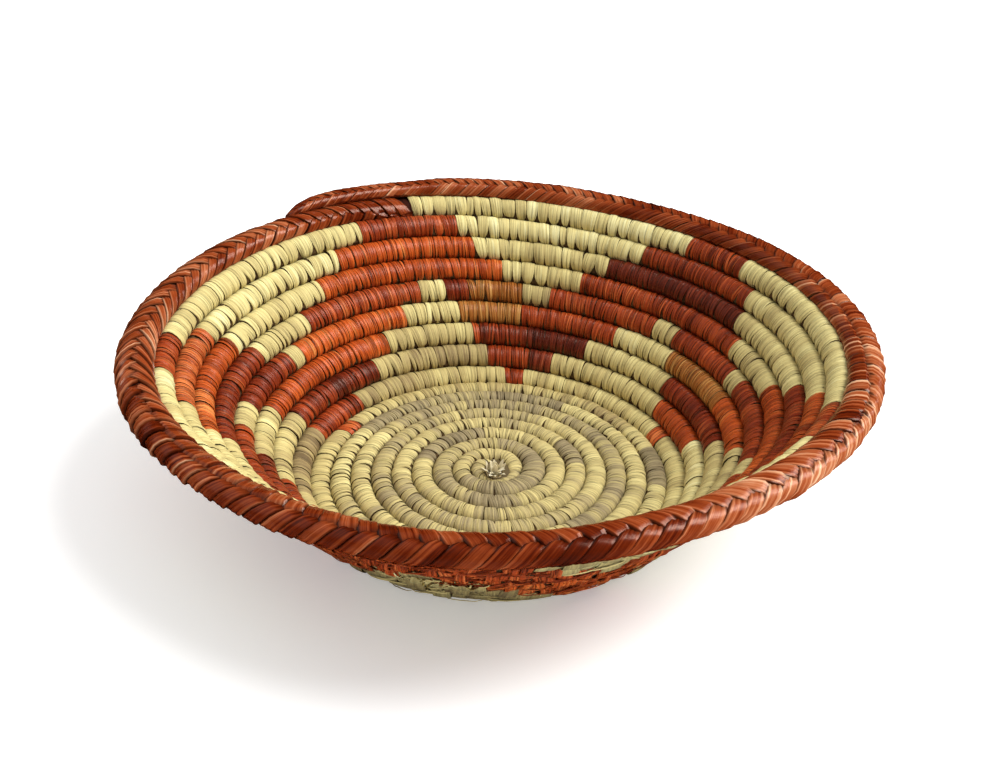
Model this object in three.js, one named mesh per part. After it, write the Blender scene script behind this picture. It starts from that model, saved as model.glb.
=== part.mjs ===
// Shallow coiled basket. One unbroken grass bundle is wound as a spiral into a slightly domed floor and a
// flaring wall, and wrapped in straw all along. Dyed wraps replace the straw over short runs and draw a
// stepped zig-zag band round the wall, and a herringbone braid covers the last turn as a rim.
// Millimetres, +Z up. The spiral turns counter-clockwise from above and stands on Z = 0, and the origin is
// the middle of the basket's box.

import * as THREE from 'three';

// Spiral of rows, counted in turns from the centre. Turn 0 crosses the +X axis.
const START_RADIUS = 8.4;
const FLOOR_PITCH = 8.2;
const WALL_PITCH = 9.98;
const FLOOR_TURNS = 7.09;
const BEND_TURNS = 1.56;
const FLOOR_FALL_ANGLE = 5.3;
const WALL_ANGLE = 47.6;
const INNER_END_TURN = -0.3;
const OUTER_END_TURN = 17.37;

// Wrapped bundle: its thickness across the wall, and the space left between neighbouring rows.
const FLOOR_THICKNESS = 7.8;
const WALL_THICKNESS = 8.6;
const ROW_GAP = 1.15;
const FLAT_SHARE = 0.1;
const POINTED_END = 0.4;
const POINTED_TURNS = 0.4;

// Dyed wraps: a strip of leaf wound on the bare bundle, and the clearance round it.
const STRIP_THICKNESS = 0.9;
const WRAP_CLEARANCE = 0.4;

// Herringbone braid over the last turn.
const BRAID_START_TURN = 16.3;
const BRAID_TAIL_TURNS = 0.1;
const BRAID_TAIL_SIZE = 0.4;
const BRAID_WIDTH = 14;
const BRAID_HEIGHT = 10.2;
const BRAID_OVERHANG = 2.8;
const BRAID_LEAD_TURNS = 0.1;
const BRAID_STRIPS = 126;
const BRAID_STRIP_RISE = 0.8;
const BRAID_STRIP_SHARE = 0.85;
const BRAID_STRIP_LAG = 9;
const BRAID_BORE_RADIUS = 2.9;
const BRAID_CORE_RADIUS = 1.9;

// Knot of strip ends at the centre of the floor. It fills the space inside the bundle's pointed start.
const KNOT_CLEARANCE = 0.5;
const KNOT_RADIUS = START_RADIUS + INNER_END_TURN * FLOOR_PITCH
  - (POINTED_END * (FLOOR_PITCH - ROW_GAP)) / 2 - KNOT_CLEARANCE;
const KNOT_RIM_HEIGHT = 3.4;
const TUFT_RADIUS = 2.8;
const TUFT_WAIST = 2.1;
const KNOT_HEIGHT = 8.6;
const TUFT_WAIST_SHARE = 0.4;
const TUFT_DIP_SHARE = 0.8;

// Hand-made wobble of the wall, full at the rim: lobes round the basket, then how far each lobe goes
// outwards and upwards, as cosine and sine parts of the wobble's size.
const WOBBLE_SIZE = 2;
const WOBBLE_FROM_TURN = 7.5;
const WOBBLE_FULL_TURNS = 9;
const WOBBLE = [
  { lobes: 2, out: [0.7, -0.82], up: [-0.6, -1.27] },
  { lobes: 3, out: [0.01, 0.33], up: [-0.5, 0.97] },
  { lobes: 4, out: [1.15, 0.62], up: [-0.17, 0.31] },
];

// The weaver's chart: pattern rows from the lowest, each with the dyed runs of its turn as
// [first degree, last degree, dye]. Row 0 lies on the turn that starts at FIRST_PATTERN_TURN.
const FIRST_PATTERN_TURN = 7;
const CHART = [
  [[149, 156.5, 'rust'], [217, 224.5, 'rust'], [293, 300.5, 'rust'], [379.5, 385.5, 'rust'],
    [440.5, 447, 'rust']],
  [[140.5, 164, 'rust'], [205.5, 232, 'rust'], [285, 308, 'orange'], [368.5, 391, 'orange'],
    [432, 439.5, 'brown'], [439.5, 453, 'rust']],
  [[129.5, 166, 'rust'], [198, 237.5, 'rust'], [276, 312, 'rust'], [361, 393.5, 'maroon'],
    [422.5, 441, 'brown'], [441, 457, 'rust']],
  [[123, 172, 'orange'], [192.5, 244, 'rust'], [268, 317, 'orange'], [352, 373.5, 'orange'],
    [373.5, 397.5, 'tan'], [415.5, 443.5, 'rust'], [443.5, 460.5, 'tan']],
  [[115.5, 150, 'orange'], [154, 177, 'maroon'], [186, 219.5, 'rust'], [224.5, 251.5, 'rust'],
    [259.5, 290.5, 'rust'], [296, 335, 'rust'], [342, 373.5, 'rust'], [378, 399.5, 'rust'],
    [406, 436.5, 'rust'], [443.5, 457.5, 'tan'], [457.5, 463.5, 'maroon'], [470, 503, 'rust']],
  [[161, 197.5, 'maroon'], [237, 282, 'rust'], [319.5, 365.5, 'orange'], [383.5, 429.5, 'rust'],
    [449, 495, 'orange']],
  [[165.5, 199, 'orange'], [242, 277, 'rust'], [323.5, 360, 'maroon'], [387.5, 424, 'brown'],
    [455.5, 488, 'orange']],
  [[169, 194, 'rust'], [247, 272, 'maroon'], [324, 352, 'orange'], [389, 417, 'rust'],
    [459, 480.5, 'rust']],
  [[176.5, 188, 'rust'], [253, 266.5, 'rust'], [331, 344, 'rust'], [394.5, 408, 'rust']],
];

// Colour and roughness of the straw, the dyes and the braid.
const STRAW = ['#d9c48c', 0.65];
const BRAID = ['#9c3a1a', 0.4];
const DYES = {
  rust: ['#a8431c', 0.45],
  orange: ['#c9561f', 0.45],
  maroon: ['#7a2a16', 0.45],
  brown: ['#5a2318', 0.45],
  tan: ['#a0622a', 0.5],
};

// Facets.
const STEPS_PER_TURN = 24;
const STEP_TOLERANCE = 1e-6;
const KNOT_SEGMENTS = 12;
const HEXAGON = [[1, 0], [0.5, 1], [-0.5, 1], [-1, 0], [-0.5, -1], [0.5, -1]];
const BRAID_SPINE = 100;
const BRAID_CORNERS = [BRAID_SPINE, 145, 185, 235, 300, 350, 405];

const radians = THREE.MathUtils.degToRad;
const { clamp, lerp, smoothstep } = THREE.MathUtils;

// Slope, pitch and thickness at a turn: the floor falls away more and more from its centre, and then the
// row bends up into the wall, which is straight.
function rowShape(turn) {
  const bent = smoothstep(turn, FLOOR_TURNS, FLOOR_TURNS + BEND_TURNS);
  const fall = radians(FLOOR_FALL_ANGLE) * clamp(turn / FLOOR_TURNS, 0, 1);
  return {
    slope: lerp(-fall, radians(WALL_ANGLE), bent),
    pitch: lerp(FLOOR_PITCH, WALL_PITCH, bent),
    thickness: lerp(FLOOR_THICKNESS, WALL_THICKNESS, bent),
  };
}

function wobbleAt(turn) {
  const angle = turn * 2 * Math.PI;
  const reach = WOBBLE_SIZE * Math.max(0, (turn - WOBBLE_FROM_TURN) / WOBBLE_FULL_TURNS);
  const swing = (lobes, [cosine, sine]) => cosine * Math.cos(lobes * angle) + sine * Math.sin(lobes * angle);
  return {
    out: reach * WOBBLE.reduce((sum, { lobes, out }) => sum + swing(lobes, out), 0),
    up: reach * WOBBLE.reduce((sum, { lobes, up }) => sum + swing(lobes, up), 0),
  };
}

// Radius and height of the row's middle, step by step along the spiral. The lowest row is cut flat where it
// stands on the table.
const firstStep = Math.floor(INNER_END_TURN * STEPS_PER_TURN) - 1;
const lastStep = Math.ceil(OUTER_END_TURN * STEPS_PER_TURN) + 1;
const profile = [];
let radius = START_RADIUS + (firstStep / STEPS_PER_TURN) * FLOOR_PITCH;
let height = 0;
for (let step = firstStep; step <= lastStep; step += 1) {
  profile.push({ step, radius, height });
  const { slope, pitch } = rowShape((step + 0.5) / STEPS_PER_TURN);
  radius += (pitch * Math.cos(slope)) / STEPS_PER_TURN;
  height += (pitch * Math.sin(slope)) / STEPS_PER_TURN;
}
const footing = (0.5 - FLAT_SHARE) * FLOOR_THICKNESS;
const lowest = Math.min(...profile.map((row) => row.height));

// Steps along the spiral: the middle of the row there, the way across to the next row outwards, and the
// way through the wall towards the inside of the basket.
const steps = new Map();
for (const row of profile) {
  const turn = row.step / STEPS_PER_TURN;
  const { slope, pitch, thickness } = rowShape(turn);
  const wobble = wobbleAt(turn);
  const overhang = BRAID_OVERHANG * smoothstep(turn, BRAID_START_TURN - BRAID_LEAD_TURNS, BRAID_START_TURN);
  const angle = turn * 2 * Math.PI;
  const outwards = new THREE.Vector3(Math.cos(angle), Math.sin(angle), 0);
  const upwards = new THREE.Vector3(0, 0, 1);
  const across = outwards.clone().multiplyScalar(Math.cos(slope)).addScaledVector(upwards, Math.sin(slope));
  const inwards = upwards.clone().multiplyScalar(Math.cos(slope)).addScaledVector(outwards, -Math.sin(slope));
  const middle = outwards.clone().multiplyScalar(row.radius + wobble.out);
  middle.z = footing + row.height - lowest + wobble.up;
  middle.addScaledVector(inwards, -overhang);
  const halfWidth = (pitch - ROW_GAP) / 2;
  steps.set(row.step, { outwards, upwards, across, inwards, middle, halfWidth, thickness });
}

// A point of the row at any turn lies on the straight run between the two steps beside it.
function between(turn, pointAt) {
  const step = Math.floor(turn * STEPS_PER_TURN);
  const start = pointAt(steps.get(step));
  return start.lerp(pointAt(steps.get(step + 1)), turn * STEPS_PER_TURN - step);
}

function turnsBetween(from, to) {
  const turns = [from];
  const first = Math.floor(from * STEPS_PER_TURN + STEP_TOLERANCE) + 1;
  const last = Math.ceil(to * STEPS_PER_TURN - STEP_TOLERANCE) - 1;
  for (let step = first; step <= last; step += 1) turns.push(step / STEPS_PER_TURN);
  turns.push(to);
  return turns;
}

// Six-sided section of the wrapped bundle, drawn in by an inset and never lower than that above the table.
function bundleRing(turn, inset) {
  const pointed = smoothstep(turn, INNER_END_TURN, INNER_END_TURN + POINTED_TURNS);
  const size = lerp(POINTED_END, 1, pointed);
  return HEXAGON.map(([x, y]) => between(turn, (step) => {
    const corner = step.middle.clone();
    corner.addScaledVector(step.across, size * x * (step.halfWidth - inset));
    corner.addScaledVector(step.inwards, size * y * (step.thickness / 2 - inset));
    corner.z = Math.max(corner.z, inset);
    return corner;
  }));
}

// The braid tapers off in a tail, which stays seated on the row below as it thins.
function tailSize(turn) {
  return lerp(1, BRAID_TAIL_SIZE, smoothstep(turn, OUTER_END_TURN - BRAID_TAIL_TURNS, OUTER_END_TURN));
}

function braidMiddle(step, size) {
  return step.middle.clone().addScaledVector(step.across, (size - 1) * step.halfWidth);
}

function coreRing(turn) {
  const size = tailSize(turn);
  const reach = BRAID_CORE_RADIUS * size;
  return HEXAGON.map(([x, y]) => between(turn, (step) => braidMiddle(step, size)
    .addScaledVector(step.across, x * reach)
    .addScaledVector(step.inwards, y * reach * Math.sin(Math.PI / 3))));
}

function boreRing(turn) {
  const size = tailSize(turn);
  const reach = BRAID_BORE_RADIUS * size;
  return BRAID_CORNERS.map((degrees) => between(turn, (step) => braidMiddle(step, size)
    .addScaledVector(step.outwards, reach * Math.cos(radians(degrees)))
    .addScaledVector(step.upwards, reach * Math.sin(radians(degrees)))));
}

// Ring of the braid. Its corners trail behind the spine the further they lie from it, so that each strip
// slants down both sides, and it is flat where it rests on the row below or carries its own tail.
function braidRing(spineTurn, rise) {
  const slant = smoothstep(spineTurn, BRAID_START_TURN, BRAID_START_TURN + BRAID_LEAD_TURNS)
    * (1 - smoothstep(spineTurn, OUTER_END_TURN - BRAID_LEAD_TURNS, OUTER_END_TURN));
  return BRAID_CORNERS.map((degrees) => {
    const fromSpine = Math.min(degrees - BRAID_SPINE, 360 + BRAID_SPINE - degrees) / 180;
    const rimLength = 2 * Math.PI * steps.get(lastStep).middle.length();
    const turn = spineTurn - (slant * fromSpine * BRAID_STRIP_LAG) / rimLength;
    const size = tailSize(turn);
    return between(turn, (step) => {
      const corner = new THREE.Vector3();
      corner.addScaledVector(step.outwards, size * (BRAID_WIDTH / 2 - rise) * Math.cos(radians(degrees)));
      corner.addScaledVector(step.upwards, size * (BRAID_HEIGHT / 2 - rise) * Math.sin(radians(degrees)));
      const reach = corner.dot(step.across);
      const roofed = turn < OUTER_END_TURN - 1 + BRAID_LEAD_TURNS;
      const seated = clamp(reach, -size * step.halfWidth, roofed ? step.halfWidth : Infinity);
      return corner.addScaledVector(step.across, seated - reach).add(braidMiddle(step, size));
    });
  });
}

// Closed surfaces from rings of corners.
function addSides(indices, rings, first, inside) {
  const sides = rings[0].length;
  for (let ring = 0; ring + 1 < rings.length; ring += 1) {
    for (let side = 0; side < sides; side += 1) {
      const a = first + ring * sides + side;
      const b = first + ring * sides + ((side + 1) % sides);
      if (inside) indices.push(a, b + sides, a + sides, a, b, b + sides);
      else indices.push(a, a + sides, b + sides, a, b + sides, b);
    }
  }
}

function surface(rings, indices) {
  const geometry = new THREE.BufferGeometry().setFromPoints(rings.flat());
  geometry.setIndex(indices);
  geometry.computeVertexNormals();
  return geometry;
}

function solidTube(rings) {
  const sides = rings[0].length;
  const end = (rings.length - 1) * sides;
  const indices = [];
  addSides(indices, rings, 0, false);
  for (let side = 1; side + 1 < sides; side += 1) {
    indices.push(0, side, side + 1);
    indices.push(end, end + side + 1, end + side);
  }
  return surface(rings, indices);
}

function sleeve(outerRings, boreRings) {
  const sides = outerRings[0].length;
  const bore = outerRings.length * sides;
  const outerEnd = bore - sides;
  const boreEnd = bore + (boreRings.length - 1) * sides;
  const indices = [];
  addSides(indices, outerRings, 0, false);
  addSides(indices, boreRings, bore, true);
  for (let side = 0; side < sides; side += 1) {
    const next = (side + 1) % sides;
    indices.push(side, next, bore + next, side, bore + next, bore + side);
    indices.push(outerEnd + side, boreEnd + next, outerEnd + next);
    indices.push(outerEnd + side, boreEnd + side, boreEnd + next);
  }
  return surface([...outerRings, ...boreRings], indices);
}

// Dyed runs in turns along the spiral.
const dyedRuns = CHART.flatMap((runs, row) => runs.map(([first, last, dye], index) => ({
  name: `${dye}_wrap_row${row + 1}_${index + 1}`,
  dye,
  from: FIRST_PATTERN_TURN + row + first / 360,
  to: FIRST_PATTERN_TURN + row + last / 360,
})));
dyedRuns.sort((a, b) => a.from - b.from);

// The bundle is full size under its straw and bare, so thinner, under the dyed wraps and the braid.
function bundleRings() {
  const bareInset = STRIP_THICKNESS + WRAP_CLEARANCE;
  const rings = [];
  let reached = INNER_END_TURN;
  for (const { from, to } of dyedRuns) {
    if (from > reached) rings.push(...turnsBetween(reached, from).map((turn) => bundleRing(turn, 0)));
    rings.push(...turnsBetween(from, to).map((turn) => bundleRing(turn, bareInset)));
    reached = to;
  }
  rings.push(...turnsBetween(reached, BRAID_START_TURN).map((turn) => bundleRing(turn, 0)));
  rings.push(...turnsBetween(BRAID_START_TURN, OUTER_END_TURN).map(coreRing));
  return rings;
}

// Space that a wrap or the braid leaves to what is beside it along the row.
function clearTurns(turn) {
  return WRAP_CLEARANCE / (2 * Math.PI * between(turn, (step) => step.middle.clone()).length());
}

function wrapGeometry({ from, to }) {
  const turns = turnsBetween(from + clearTurns(from) / 2, to - clearTurns(to) / 2);
  const outer = turns.map((turn) => bundleRing(turn, 0));
  const bore = turns.map((turn) => bundleRing(turn, STRIP_THICKNESS));
  return sleeve(outer, bore);
}

function braidGeometry() {
  const from = BRAID_START_TURN + clearTurns(BRAID_START_TURN);
  const pitch = (OUTER_END_TURN - from) / BRAID_STRIPS;
  const outer = [];
  for (let strip = 0; strip < BRAID_STRIPS; strip += 1) {
    outer.push(braidRing(from + strip * pitch, 0));
    outer.push(braidRing(from + (strip + BRAID_STRIP_SHARE) * pitch, BRAID_STRIP_RISE));
  }
  outer.push(braidRing(OUTER_END_TURN, BRAID_STRIP_RISE));
  return sleeve(outer, turnsBetween(from, OUTER_END_TURN).map(boreRing));
}

function knotGeometry() {
  const outline = [
    [0, 0],
    [KNOT_RADIUS, 0],
    [KNOT_RADIUS, KNOT_RIM_HEIGHT],
    [TUFT_WAIST, lerp(KNOT_RIM_HEIGHT, KNOT_HEIGHT, TUFT_WAIST_SHARE)],
    [TUFT_RADIUS, KNOT_HEIGHT],
    [0, lerp(KNOT_RIM_HEIGHT, KNOT_HEIGHT, TUFT_DIP_SHARE)],
  ].map(([x, y]) => new THREE.Vector2(x, y));
  const knot = new THREE.LatheGeometry(outline, KNOT_SEGMENTS).rotateX(Math.PI / 2);
  return knot.translate(0, 0, steps.get(0).middle.z - footing);
}

// Least gap between one turn of the bundle and the next, measured on the corners of its rings.
const NEIGHBOUR_TURNS = [0.5, 1.5];

function leastGap(rings) {
  const [nearest, furthest] = NEIGHBOUR_TURNS;
  let least = Infinity;
  const turnAngle = (ring) => Math.atan2(ring[0].y, ring[0].x);
  let turned = 0;
  const placed = rings.map((ring, index) => {
    if (index > 0) {
      const change = turnAngle(ring) - turnAngle(rings[index - 1]);
      turned += change - 2 * Math.PI * Math.round(change / (2 * Math.PI));
    }
    return { ring, turn: turned / (2 * Math.PI) };
  });
  for (const a of placed) {
    for (const b of placed) {
      if (b.turn - a.turn < nearest || b.turn - a.turn > furthest) continue;
      for (const p of a.ring) {
        for (const q of b.ring) least = Math.min(least, p.distanceTo(q));
      }
    }
  }
  return least;
}

function mesh(name, geometry, [color, roughness]) {
  const part = new THREE.Mesh(geometry, new THREE.MeshStandardMaterial({ color, roughness, metalness: 0 }));
  part.name = name;
  return part;
}

const basket = new THREE.Group();
const coil = bundleRings();
console.log(`Least gap of the coil to itself: ${leastGap(coil).toFixed(2)} mm`);
basket.add(mesh('straw_coil', solidTube(coil), STRAW));
for (const run of dyedRuns) basket.add(mesh(run.name, wrapGeometry(run), DYES[run.dye]));
basket.add(mesh('rim_braid', braidGeometry(), BRAID));
basket.add(mesh('start_knot', knotGeometry(), STRAW));

// The middle of the basket's box goes to the origin.
const middle = new THREE.Box3().setFromObject(basket).getCenter(new THREE.Vector3());
for (const part of basket.children) part.geometry.translate(-middle.x, -middle.y, 0);

export default basket;
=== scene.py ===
"""Looks of a shallow coiled basket: straw and dyed leaf stitches on a spiral of grass, with a plaited rim.

Metres, +Z up, in the frame of the solids. The spiral turns counter-clockwise from above about an upright
axis through the knot at its centre.
"""

import math
from types import SimpleNamespace

import bmesh
import bpy
import numpy as np
from mathutils import Matrix, Vector


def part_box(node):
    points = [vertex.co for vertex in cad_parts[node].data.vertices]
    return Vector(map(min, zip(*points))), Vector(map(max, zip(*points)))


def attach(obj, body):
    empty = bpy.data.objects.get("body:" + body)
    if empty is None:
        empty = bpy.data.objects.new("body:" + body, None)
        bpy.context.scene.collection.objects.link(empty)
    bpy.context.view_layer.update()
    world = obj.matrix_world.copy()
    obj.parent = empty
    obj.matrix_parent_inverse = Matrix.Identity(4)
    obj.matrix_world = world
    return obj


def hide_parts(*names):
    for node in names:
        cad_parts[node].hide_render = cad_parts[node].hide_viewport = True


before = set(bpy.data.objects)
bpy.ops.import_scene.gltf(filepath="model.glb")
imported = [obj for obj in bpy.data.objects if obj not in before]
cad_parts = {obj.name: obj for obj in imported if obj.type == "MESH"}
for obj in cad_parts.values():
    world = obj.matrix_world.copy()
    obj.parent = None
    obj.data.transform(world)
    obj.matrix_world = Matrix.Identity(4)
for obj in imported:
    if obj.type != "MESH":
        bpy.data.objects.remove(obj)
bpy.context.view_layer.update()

MM = 0.001
TAU = 2 * math.pi
rng = np.random.default_rng(11)

# Spiral of rows, counted in turns from the centre, as in the solids.
START_RADIUS = 8.4 * MM
FLOOR_PITCH = 8.2 * MM
WALL_PITCH = 9.98 * MM
FLOOR_TURNS = 7.09
BEND_TURNS = 1.56
FLOOR_FALL_ANGLE = math.radians(5.3)
WALL_ANGLE = math.radians(47.6)
OUTER_END_TURN = 17.37
FLOOR_THICKNESS = 7.8 * MM
WALL_THICKNESS = 8.6 * MM
ROW_RADIUS = (FLOOR_PITCH + WALL_THICKNESS) / 4
FOOTING = 0.4 * FLOOR_THICKNESS
CURL_START_TURN = -0.75
CURL_RATE = 0.35
BUNDLE_SIZE = np.array((  # turn, size of the bundle near its start
    (-0.75, 0.3), (-0.6, 0.95), (-0.45, 0.95), (-0.3, 0.4), (-0.12, 0.4), (0.15, 1.0)))
BRAID_START_TURN = 16.3
BRAID_OVERHANG = 2.8 * MM
BRAID_LEAD_TURNS = 0.1
BRAID_HALF_WIDTH = 7.0 * MM
BRAID_HALF_HEIGHT = 5.1 * MM
BRAID_TAIL = np.array((  # turn, size of the braid near its end
    (17.22, 1.0), (17.277, 0.86), (17.30, 0.72), (17.32, 0.69), (17.34, 0.66), (17.352, 0.6), (17.362, 0.42),
    (17.37, 0.12)))
WOBBLE_FROM_TURN = 7.5
WOBBLE_FULL_TURNS = 9
WOBBLE = (  # lobes round the basket, cosine and sine parts outwards, then upwards
    (2, 1.4 * MM, -1.64 * MM, -1.2 * MM, -2.54 * MM),
    (3, 0.02 * MM, 0.66 * MM, -1.0 * MM, 1.94 * MM),
    (4, 2.3 * MM, 1.24 * MM, -0.34 * MM, 0.62 * MM),
)
SPIRAL_STEP = 1 / 720
SPIRAL_LEAD_TURNS = 0.1
SPIRAL_TAIL_TURNS = 0.3
AXIS = (np.array(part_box("start_knot")[0]) + np.array(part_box("start_knot")[1])) / 2 * (1, 1, 0)


def smoothstep(x, low, high):
    share = np.clip((x - low) / (high - low), 0, 1)
    return share * share * (3 - 2 * share)


def running_sum(rate, zero_at, turns):
    total = np.concatenate(([0], np.cumsum((rate[1:] + rate[:-1]) / 2 * np.diff(turns))))
    return total - np.interp(zero_at, turns, total)


def course(turn, table, column):
    """A column of a table at a turn, which is the table's first column."""
    return np.interp(turn, table[:, 0], table[:, column])


def half_way(turn, radius, height, pitch, step):
    """How far a row reaches towards the row one turn on or back: half way, or more where that row is thin."""
    other = turn + step
    size = course(other, BUNDLE_SIZE, 1)
    away = np.hypot(np.interp(other, turn, radius) - radius, np.interp(other, turn, height) - height)
    return np.where((other > turn[0]) & (other < turn[-1]), away * (1 - size / 2), pitch / 2)


def spiral_table():
    """The row's middle, slope and size at many turns, for reading in between."""
    turn = np.arange(CURL_START_TURN - SPIRAL_LEAD_TURNS, OUTER_END_TURN + SPIRAL_TAIL_TURNS, SPIRAL_STEP)
    bent = smoothstep(turn, FLOOR_TURNS, FLOOR_TURNS + BEND_TURNS)
    fall = FLOOR_FALL_ANGLE * np.clip(turn / FLOOR_TURNS, 0, 1)
    slope = bent * (WALL_ANGLE + fall) - fall
    pitch = FLOOR_PITCH + (WALL_PITCH - FLOOR_PITCH) * bent
    share = np.maximum(0, (turn - WOBBLE_FROM_TURN) / WOBBLE_FULL_TURNS)
    radius = START_RADIUS + running_sum(pitch * np.cos(slope) * np.where(turn < 0, CURL_RATE, 1), 0, turn)
    height = running_sum(pitch * np.sin(slope), 0, turn)
    height = FOOTING + height - height.min()
    for lobes, out_cos, out_sin, up_cos, up_sin in WOBBLE:
        cosine, sine = np.cos(lobes * TAU * turn), np.sin(lobes * TAU * turn)
        radius = radius + share * (out_cos * cosine + out_sin * sine)
        height = height + share * (up_cos * cosine + up_sin * sine)
    to_next, to_last = (half_way(turn, radius, height, pitch, step) for step in (1, -1))
    overhang = BRAID_OVERHANG * smoothstep(turn, BRAID_START_TURN - BRAID_LEAD_TURNS, BRAID_START_TURN)
    radius = radius + overhang * np.sin(slope)
    height = height - overhang * np.cos(slope)
    speed = np.hypot(np.gradient(radius, turn), TAU * radius)
    arc = running_sum(speed, 0, turn)
    thickness = FLOOR_THICKNESS + (WALL_THICKNESS - FLOOR_THICKNESS) * bent
    return SimpleNamespace(turn=turn, radius=radius, height=height, slope=slope, thickness=thickness, arc=arc,
                           to_next=to_next, to_last=to_last)


SPIRAL = spiral_table()


def arc_at(turn):
    return np.interp(turn, SPIRAL.turn, SPIRAL.arc)


def turn_at(arc):
    return np.interp(arc, SPIRAL.arc, SPIRAL.turn)


def row_at(turn):
    """The row's middle and its directions: outwards, up, across to the next row, and in through the wall."""
    read = {key: np.interp(turn, SPIRAL.turn, getattr(SPIRAL, key))
            for key in ("radius", "height", "slope", "thickness", "to_next", "to_last")}
    angle = TAU * np.asarray(turn)
    zero = np.zeros_like(angle)
    outwards = np.stack((np.cos(angle), np.sin(angle), zero), -1)
    up = np.stack((zero, zero, zero + 1), -1)
    cosine, sine = np.cos(read["slope"])[..., None], np.sin(read["slope"])[..., None]
    return SimpleNamespace(
        middle=AXIS + outwards * read["radius"][..., None] + up * read["height"][..., None],
        outwards=outwards, up=up, across=outwards * cosine + up * sine, inwards=up * cosine - outwards * sine,
        to_next=read["to_next"], to_last=read["to_last"], thickness=read["thickness"])


# Many strips are cut from one grid and bent into place together.
SHARP_ANGLE = math.radians(38)
MERGE_DISTANCE = 1e-7
MOST_END_SIDES = 10


def strip_object(name, strips, columns, rows, place):
    """An object of separate strips, each columns by rows faces. place gives the points, UVs and values."""
    across = strips * (columns + 1) - 1
    bm = bmesh.new()
    bmesh.ops.create_grid(bm, x_segments=across, y_segments=rows, size=1)
    cuts = [face for face in bm.faces
            if int((face.calc_center_median().x + 1) / 2 * across) % (columns + 1) == columns]
    bmesh.ops.delete(bm, geom=cuts, context="FACES")
    mesh = bpy.data.meshes.new(name)
    bm.to_mesh(mesh)
    flat = np.empty(len(mesh.vertices) * 3)
    mesh.vertices.foreach_get("co", flat)
    flat = flat.reshape(-1, 3)
    strip, column = np.divmod(np.rint((flat[:, 0] + 1) / 2 * across).astype(int), columns + 1)
    row = np.rint((flat[:, 1] + 1) / 2 * rows).astype(int)
    made = place(strip, column, row)
    mesh.vertices.foreach_set("co", made.co.ravel())
    for key in ("tone", "edge"):
        mesh.attributes.new(key, "FLOAT", "POINT").data.foreach_set("value", getattr(made, key))
    corner = np.empty(len(mesh.loops), dtype=np.int32)
    mesh.loops.foreach_get("vertex_index", corner)
    mesh.uv_layers.new(name="strip").data.foreach_set("uv", made.uv[corner].ravel())
    bm.clear()
    bm.from_mesh(mesh)
    bmesh.ops.remove_doubles(bm, verts=bm.verts, dist=MERGE_DISTANCE)
    bmesh.ops.holes_fill(bm, edges=bm.edges, sides=MOST_END_SIDES)
    bm.to_mesh(mesh)
    bm.free()
    mesh.shade_smooth()
    mesh.set_sharp_from_angle(angle=SHARP_ANGLE)
    piece = bpy.data.objects.new(name, mesh)
    bpy.context.scene.collection.objects.link(piece)
    return piece


# Stitches along the row. Pairs are a least and a most, or a mean and a spread for tilt and slant.
STITCH_WIDTHS = (0.4, 1.8)
ODD_STRIP_TONES = (-0.34, -0.16)
ODD_STRIP_STITCHES = (4, 12)
STRIP_STITCHES = (6, 22)
STITCH_TONE_SPREAD = 0.06
BOLD_GAPS = (0.2, 1)
BOLD_SEAMS = (0.6, 1)
FINE_SEAMS = (0, 0.45)
STITCH_LIFT = 0.1 * MM
STITCH_TILT = (0.05 * MM, 0.1 * MM)
STITCH_SLANT = (0.4 * MM, 0.35 * MM)
STITCH_STRAY = 1.0 * MM
STITCH_UNEVENNESS = 0.35 * MM
PINCHES = (0.03, 0.7)
PATTERN_SHIFT = 400


def sew(stretches, tone_of, width, spread, tone_spread, odd_share, bold_share, gape, pinch, pillow,
        front_narrowing=0.0):
    """Stitches that fill stretches of the row. A strip of leaf lasts several stitches and keeps its tone.

    Odd strips are darker. Bold stitches leave a gap and a deep seam, pinched ones draw in at the row before,
    and a pillow is how far a stitch stands up in its middle.
    """
    arcs, widths, levels = [], [], []
    for first, last in stretches:
        start, length = arc_at(first), arc_at(last) - arc_at(first)
        own, reached = [], 0.0
        while reached < length - width / 3:
            front = max(0.0, -math.sin(TAU * turn_at(start + reached))) ** 2
            own.append(width * (1 - front_narrowing * front) * np.clip(rng.normal(1, spread), *STITCH_WIDTHS))
            reached += own[-1]
        own = np.array(own) * length / reached
        arcs.append(start + np.cumsum(own) - own / 2)
        widths.append(own)
        strip_tone = []
        while len(strip_tone) < len(own):
            odd = rng.random() < odd_share
            level = rng.uniform(*ODD_STRIP_TONES) if odd else rng.normal(0, tone_spread)
            strip_tone += [level] * int(rng.integers(*(ODD_STRIP_STITCHES if odd else STRIP_STITCHES)))
        levels.append(np.array(strip_tone[:len(own)]))
    arcs, widths, levels = (np.concatenate(values) for values in (arcs, widths, levels))
    count = len(arcs)
    bold = rng.random(count) < bold_share
    gap = np.where(bold, rng.uniform(*BOLD_GAPS, count), 0) * gape
    seam = np.where(bold, rng.uniform(*BOLD_SEAMS, count), rng.uniform(*FINE_SEAMS, count))
    return SimpleNamespace(
        arc=arcs,
        half=widths / 2,
        left_gap=np.roll(gap, 1) / 2,
        right_gap=gap / 2,
        left_seam=np.roll(seam, 1),
        right_seam=seam,
        pillow=np.clip(rng.normal(pillow, pillow / 2, count), 0, None),
        tone=np.clip(tone_of(turn_at(arcs)) + levels + rng.normal(0, STITCH_TONE_SPREAD, count), 0, 1),
        lift=rng.normal(0, STITCH_LIFT, count),
        tilt=rng.normal(*STITCH_TILT, count),
        slant=rng.normal(*STITCH_SLANT, count),
        pinch=np.clip(rng.gamma(2, pinch / 2, count), *PINCHES),
        stray=rng.normal(0, STITCH_STRAY, count),
        rough=rng.normal(0, STITCH_UNEVENNESS, count),
        offset=rng.uniform(0, PATTERN_SHIFT, count))


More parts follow.
